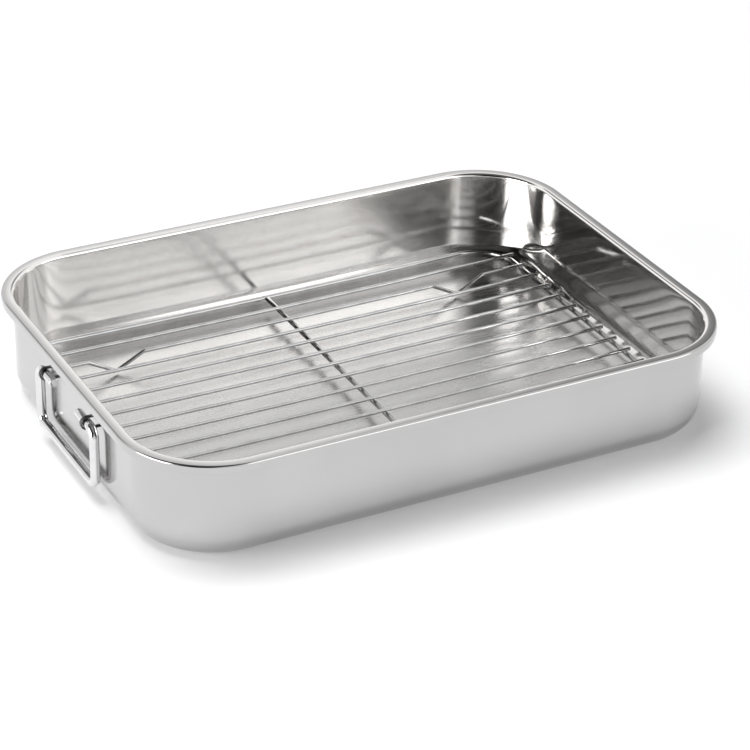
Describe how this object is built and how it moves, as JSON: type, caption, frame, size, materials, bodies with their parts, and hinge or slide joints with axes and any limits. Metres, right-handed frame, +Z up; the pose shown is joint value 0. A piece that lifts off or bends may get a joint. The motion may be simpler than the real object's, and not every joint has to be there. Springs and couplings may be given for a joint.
{
  "type": "roasting pan with rack",
  "caption": "Rectangular stainless steel roasting pan with round corners, a wire drop handle at each end and a loose wire rack that stands inside on bent legs.",
  "frame": {"origin": "middle of the pan's underside, on the surface that it stands on", "axes": "+Z up, +X along the pan's length towards the right handle, +Y towards the back"},
  "size_m": [0.405, 0.296, 0.069],
  "materials": {
    "pan_steel": "satin outside, polished inside",
    "handle_steel": "polished stainless wire",
    "eye_steel": "stainless strip darkened by welding",
    "rack_steel": "bright plated wire"
  },
  "bodies": {
    "pan": {"pan_body": "pan_steel", "left_handle_eye_front": "eye_steel", "left_handle_eye_back": "eye_steel", "right_handle_eye_front": "eye_steel", "right_handle_eye_back": "eye_steel"},
    "handle_left": {"left_handle": "handle_steel"},
    "handle_right": {"right_handle": "handle_steel"},
    "rack": {"rack_frame": "rack_steel", "rack_cross_wire": "rack_steel", "rack_bar_01": "rack_steel", "rack_bar_02": "rack_steel", "rack_bar_03": "rack_steel", "rack_bar_04": "rack_steel", "rack_bar_05": "rack_steel", "rack_bar_06": "rack_steel", "rack_bar_07": "rack_steel", "rack_bar_08": "rack_steel", "rack_bar_09": "rack_steel", "rack_bar_10": "rack_steel", "rack_bar_11": "rack_steel", "rack_bar_12": "rack_steel", "rack_bar_13": "rack_steel", "rack_bar_14": "rack_steel"}
  },
  "joints": [
    {"name": "left_handle_fold", "type": "hinge", "parent": "pan", "child": "handle_left", "pos_m": [-0.198, -0.004, 0.0505], "axis": [0, 1, 0], "range_deg": [0, 150]},
    {"name": "right_handle_fold", "type": "hinge", "parent": "pan", "child": "handle_right", "pos_m": [0.198, -0.004, 0.0505], "axis": [0, -1, 0], "range_deg": [0, 150]},
    {"name": "rack_lift", "type": "slide", "parent": "pan", "child": "rack", "axis": [0, 0, 1], "range_m": [0, 0.075]}
  ]
}
